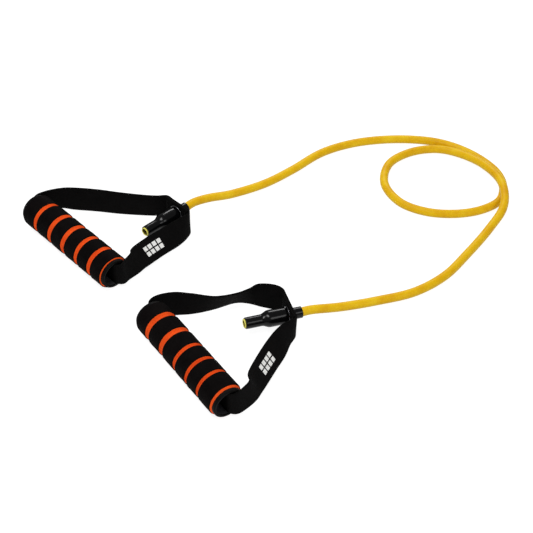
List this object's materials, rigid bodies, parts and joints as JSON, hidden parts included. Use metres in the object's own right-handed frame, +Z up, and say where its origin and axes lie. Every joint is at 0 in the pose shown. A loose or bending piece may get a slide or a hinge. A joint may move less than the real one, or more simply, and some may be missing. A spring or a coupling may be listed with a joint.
{
  "type": "resistance band",
  "caption": "Elastic exercise tube, laid with one loop, joining webbing strap handles whose grooved foam grips turn freely and which swivel on the tube's ends.",
  "frame": {"origin": "floor level, under the middle of the box around the two handles", "axes": "+Z up from the floor; +X to the right and +Y away as the band is laid, with the rear handle at -X +Y and the tube's loop at +X"},
  "size_m": [0.5096, 0.4086, 0.035],
  "materials": {
    "webbing": "matt woven nylon webbing",
    "thread": "twisted sewing thread",
    "eyelet_metal": "glossy black enamel on steel",
    "orange_foam": "fine closed-cell foam, ground",
    "black_foam": "fine closed-cell foam, ground",
    "core_plastic": "extruded",
    "collar_plastic": "moulded, fine texture",
    "black_vinyl": "glossy shrunk vinyl",
    "yellow_latex": "smooth dipped latex, slightly translucent",
    "plug_plastic": "moulded"
  },
  "bodies": {
    "band": {"front_sleeve": "black_vinyl", "front_tube_end": "yellow_latex", "front_tube_plug": "plug_plastic", "rear_sleeve": "black_vinyl", "rear_tube_end": "yellow_latex", "rear_tube_plug": "plug_plastic", "tube_run": "yellow_latex"},
    "front_handle": {"front_strap": "webbing", "front_strap_stitching": "thread", "front_eyelet": "eyelet_metal", "front_eyelet_washer": "eyelet_metal"},
    "front_grip": {"front_foam_core": "orange_foam", "front_foam_rings": "black_foam", "front_core_tube": "core_plastic", "front_end_collars": "collar_plastic"},
    "rear_handle": {"rear_strap": "webbing", "rear_strap_stitching": "thread", "rear_eyelet": "eyelet_metal", "rear_eyelet_washer": "eyelet_metal"},
    "rear_grip": {"rear_foam_core": "orange_foam", "rear_foam_rings": "black_foam", "rear_core_tube": "core_plastic", "rear_end_collars": "collar_plastic"}
  },
  "joints": [
    {"name": "front_handle_swivel", "type": "hinge", "parent": "band", "child": "front_handle", "pos_m": [0.12971, -0.02349, 0.0128], "axis": [0.9504, 0.3085, -0.0405], "continuous": true},
    {"name": "front_grip_spin", "type": "hinge", "parent": "front_handle", "child": "front_grip", "pos_m": [0.036, -0.083, 0.0175], "axis": [0.5736, -0.8192, 0], "continuous": true},
    {"name": "rear_handle_swivel", "type": "hinge", "parent": "band", "child": "rear_handle", "pos_m": [0.01536, 0.12403, 0.01264], "axis": [0.6939, 0.7186, -0.0454], "range_deg": [-150, 150]},
    {"name": "rear_grip_spin", "type": "hinge", "parent": "rear_handle", "child": "rear_grip", "pos_m": [-0.086, 0.076, 0.0175], "axis": [0.682, -0.7314, 0], "continuous": true}
  ]
}
